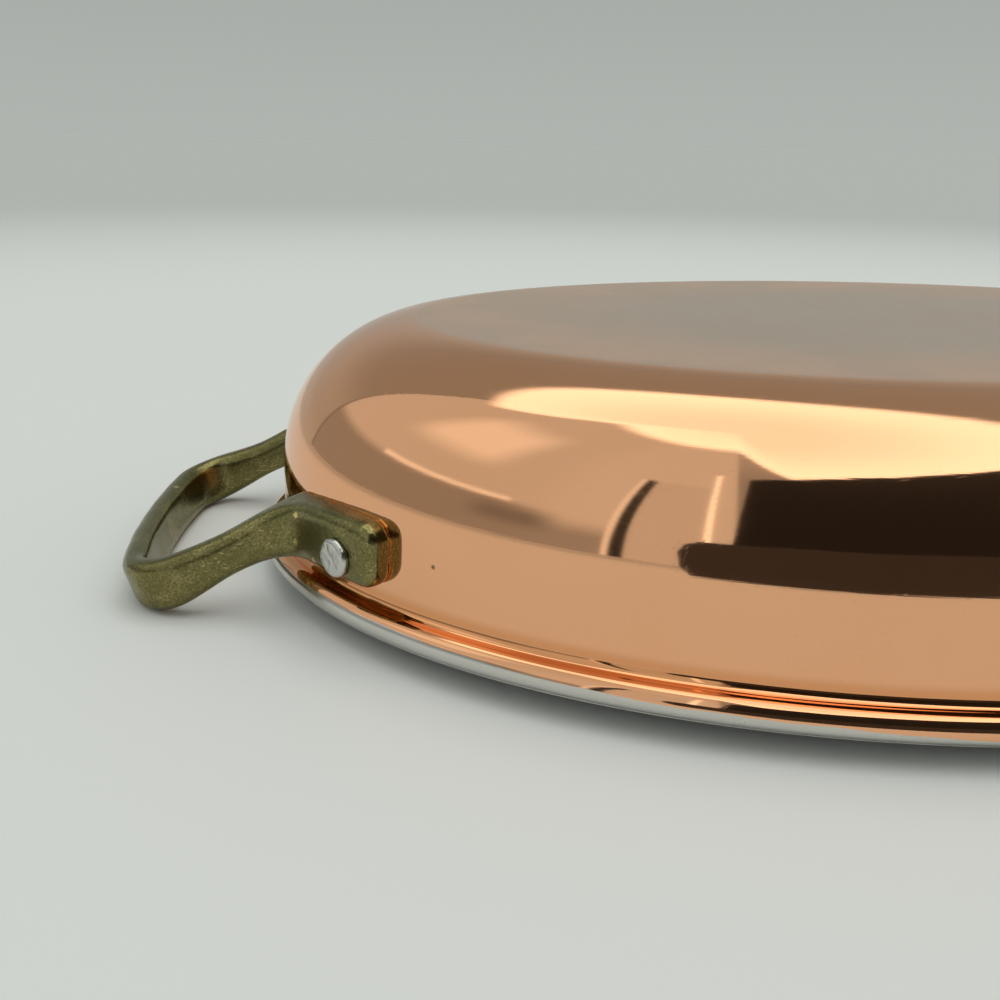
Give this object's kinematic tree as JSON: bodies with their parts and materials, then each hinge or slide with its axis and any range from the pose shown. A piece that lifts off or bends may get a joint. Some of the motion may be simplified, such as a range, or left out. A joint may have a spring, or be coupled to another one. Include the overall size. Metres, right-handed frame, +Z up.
{
  "type": "oval gratin dish",
  "caption": "Oval copper gratin dish with a bright metal lining and riveted brass loop handles at both ends, turned over with its flat base up.",
  "frame": {"origin": "on the floor below the middle of the oval; the dish stands upside down on its two handle loops", "axes": "+X along the long side of the oval, +Y across it, +Z up to the flat base. The dish opens towards -Z and is turned over for use."},
  "size_m": [0.3596, 0.2124, 0.0575],
  "materials": {
    "copper": null,
    "lining": "dull silvery lining with fine wiping scratches",
    "brass": "cast and filed brass, darkened with use",
    "rivet": "hammered pale metal"
  },
  "bodies": {
    "root": {"copper_shell": "copper", "lining": "lining", "handle_left": "brass", "handle_right": "brass", "rivet_left_front": "rivet", "rivet_left_back": "rivet", "rivet_right_front": "rivet", "rivet_right_back": "rivet"}
  },
  "joints": []
}
